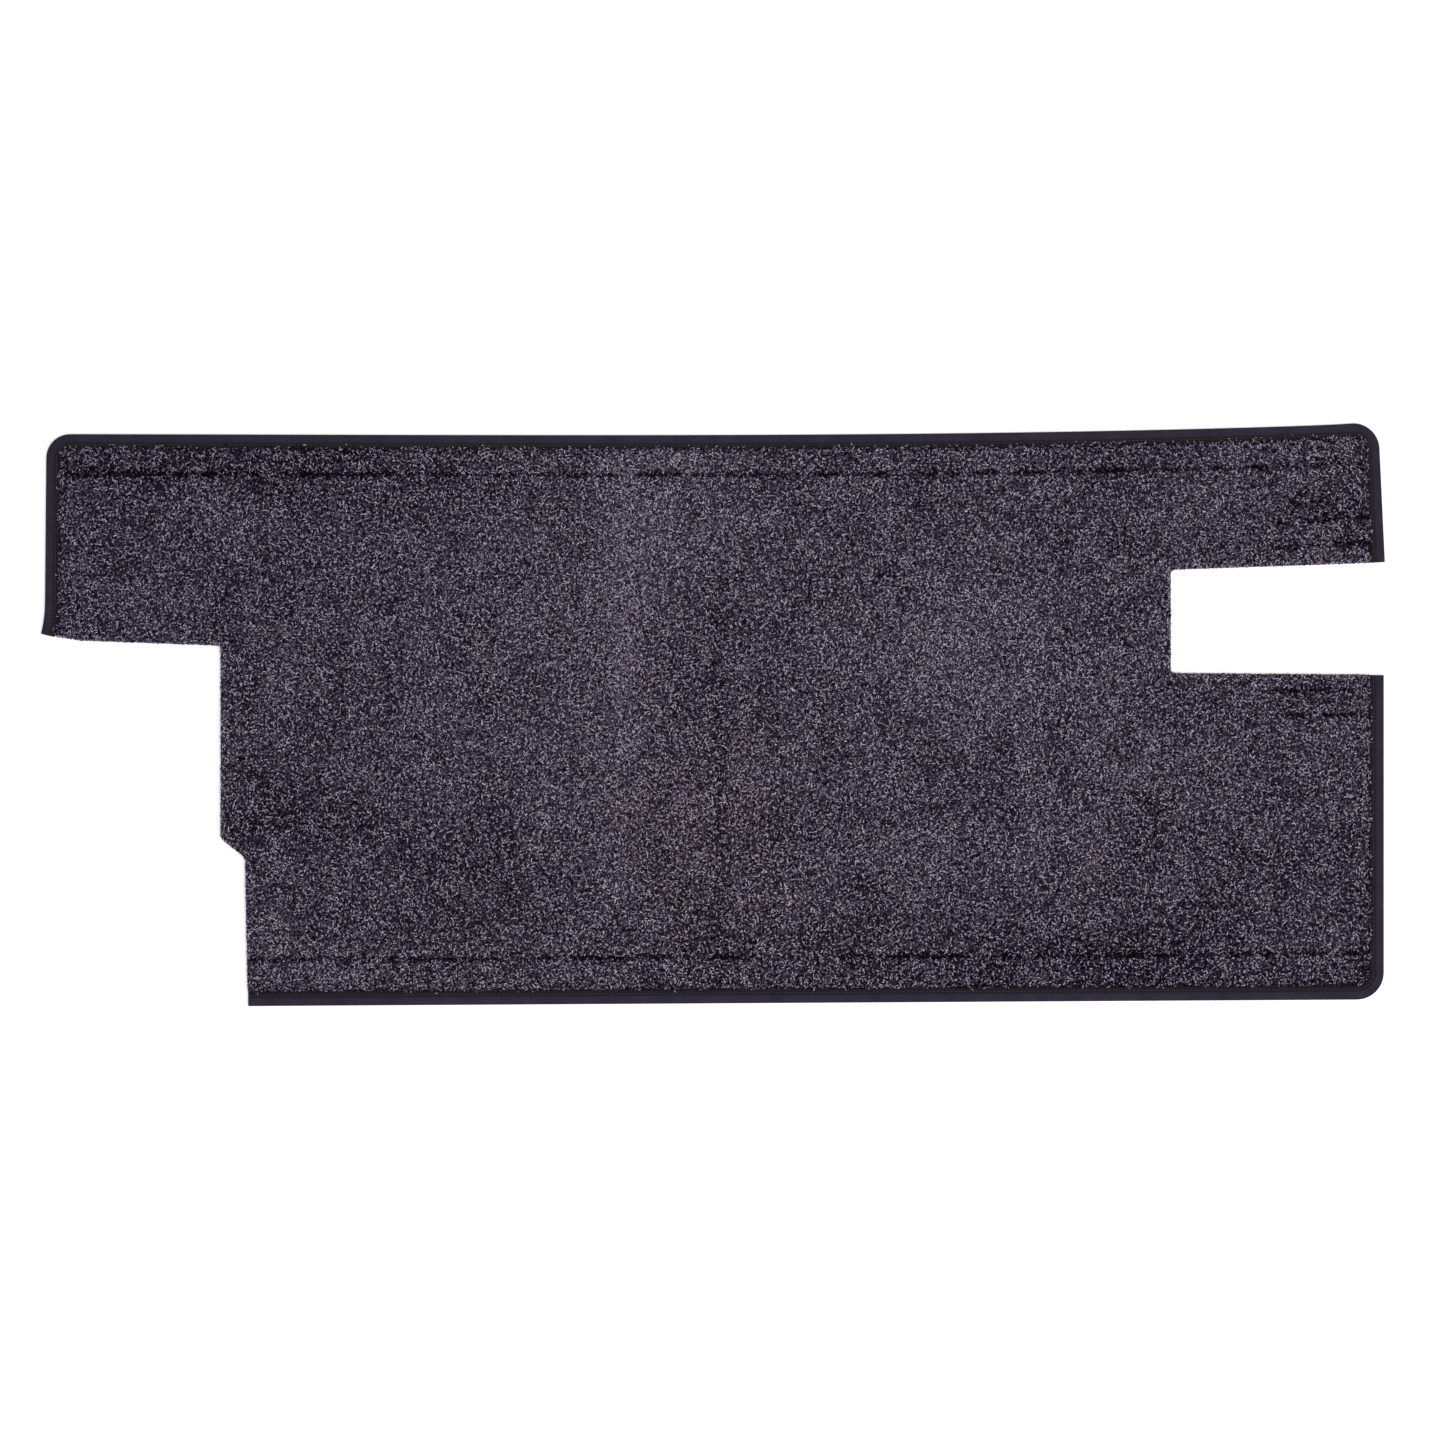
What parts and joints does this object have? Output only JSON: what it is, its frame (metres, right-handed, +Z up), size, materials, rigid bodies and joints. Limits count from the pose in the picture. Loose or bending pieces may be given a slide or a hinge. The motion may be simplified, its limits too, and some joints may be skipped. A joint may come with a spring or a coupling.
{
  "type": "tailgate mat",
  "caption": "Flat pile carpet mat for a vehicle tailgate, with a notched end, a side wing, bound edges and hook strips on its back.",
  "frame": {"origin": "centre of the mat's overall rectangle, on the plane of the hook strips' underside, which it rests on", "axes": "+X along the length towards the notched end, +Y across the mat towards the slack back edge, +Z up out of the pile"},
  "size_m": [1.1154, 0.4838, 0.0081],
  "materials": {
    "pile": "charcoal melange cut pile, curly matt fibres",
    "edge_tape": "dark woven edge tape, soft satin",
    "hook_tape": "black woven nylon hook tape"
  },
  "bodies": {
    "root": {"carpet": "pile", "upper_binding": "edge_tape", "lower_binding": "edge_tape", "back_hook_strip": "hook_tape", "front_hook_strip": "hook_tape", "upper_arm_hook_strip": "hook_tape", "lower_arm_hook_strip": "hook_tape"}
  },
  "joints": []
}
